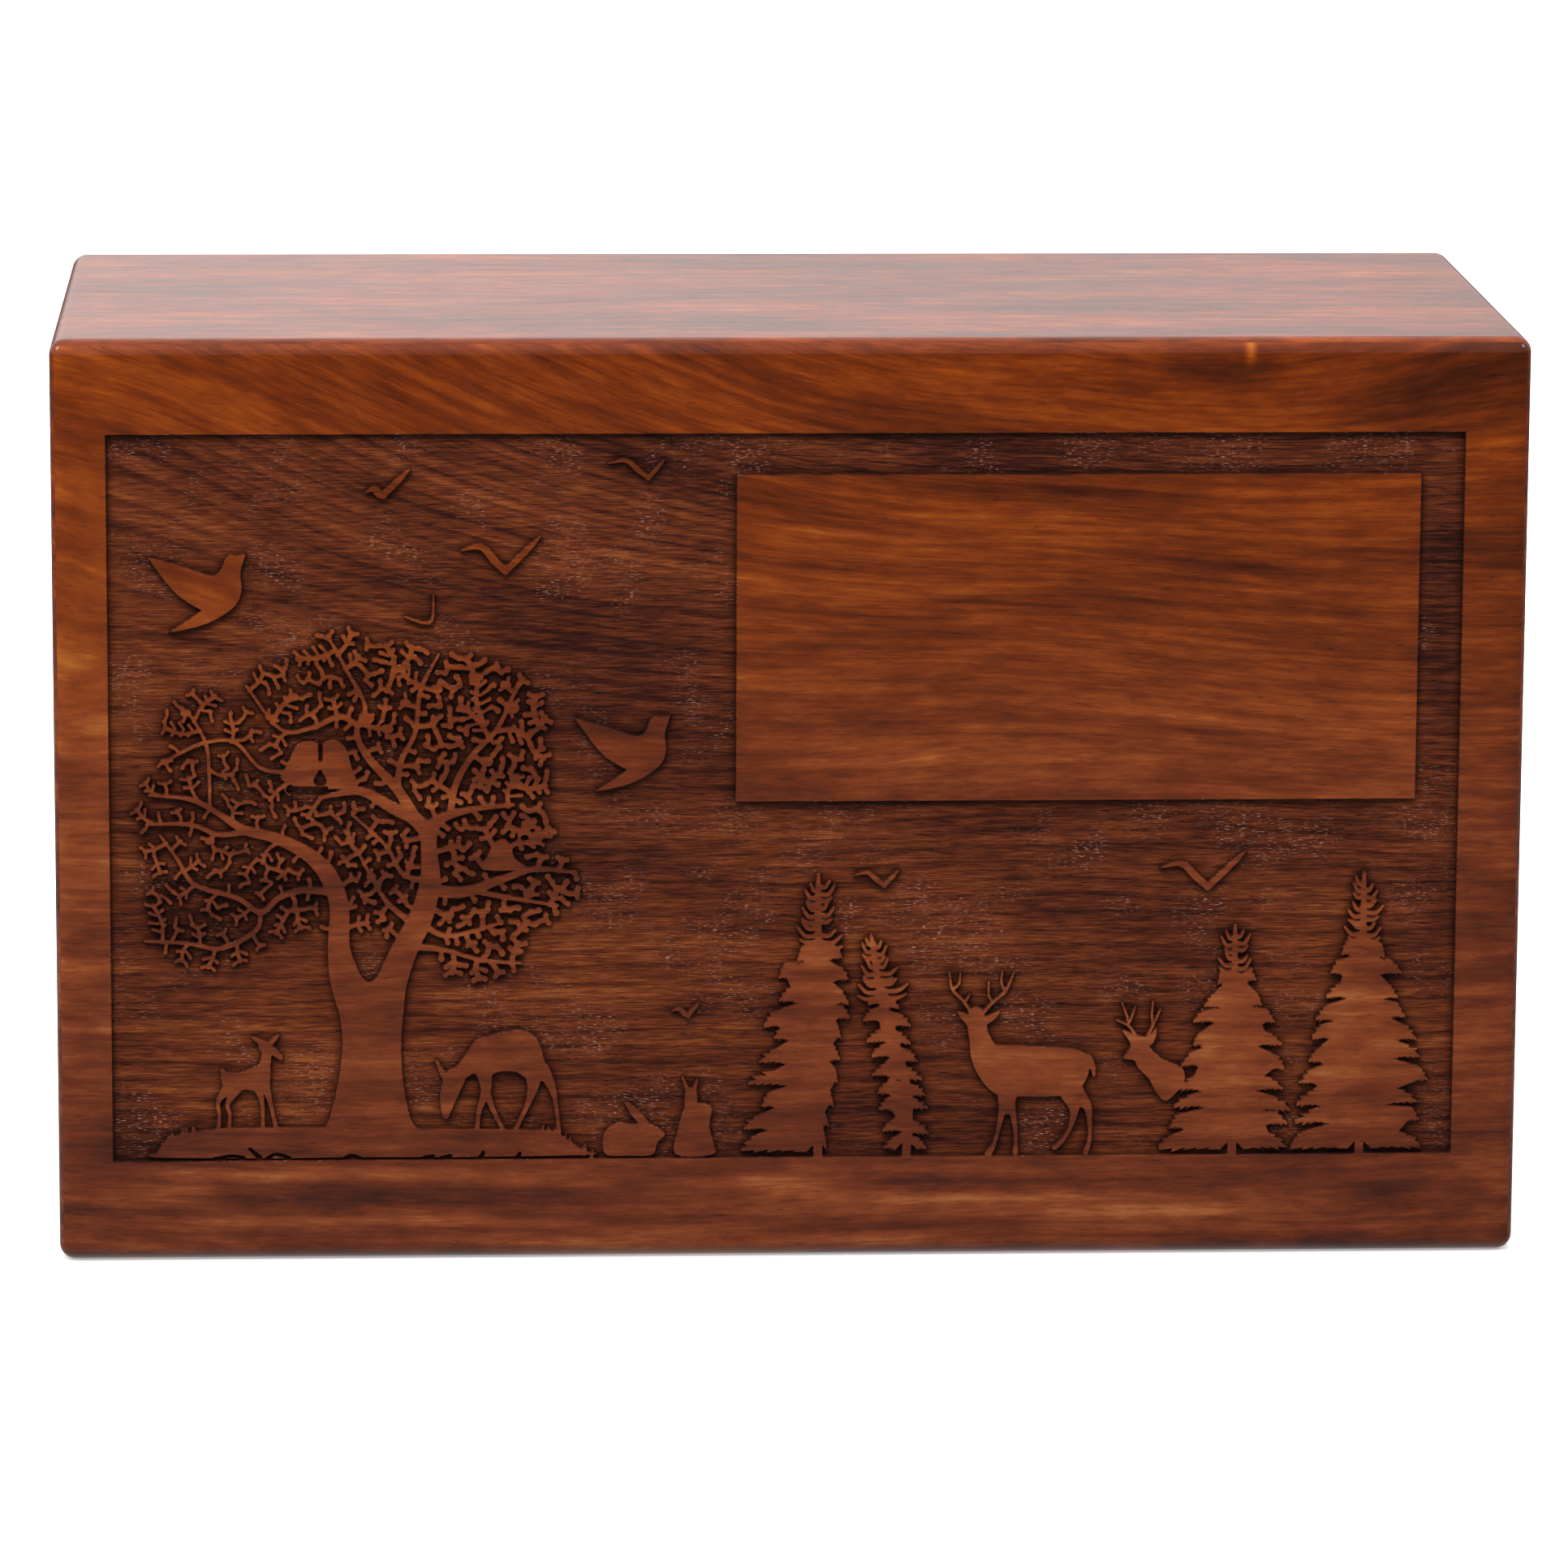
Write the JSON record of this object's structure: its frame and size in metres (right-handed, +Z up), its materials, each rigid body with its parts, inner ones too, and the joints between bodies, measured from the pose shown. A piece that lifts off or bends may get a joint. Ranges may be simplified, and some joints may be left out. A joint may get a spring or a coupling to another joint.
{
  "type": "cremation urn box",
  "caption": "Hollow rosewood box for ashes, its front engraved round a woodland picture and a blank name plate, closed below by a screwed panel.",
  "frame": {"origin": "middle of the underside, on the surface that the box stands on", "axes": "+Z up, the engraved front faces -Y, +X runs to the right of someone who faces the front"},
  "size_m": [0.28, 0.127, 0.178],
  "materials": {
    "rosewood": "gloss",
    "screw_brass": "satin"
  },
  "bodies": {
    "root": {"front_board": "rosewood", "back_board": "rosewood", "left_board": "rosewood", "right_board": "rosewood", "top_board": "rosewood", "base_panel": "rosewood", "base_screw_1": "screw_brass", "base_screw_2": "screw_brass", "base_screw_3": "screw_brass", "base_screw_4": "screw_brass"}
  },
  "joints": []
}
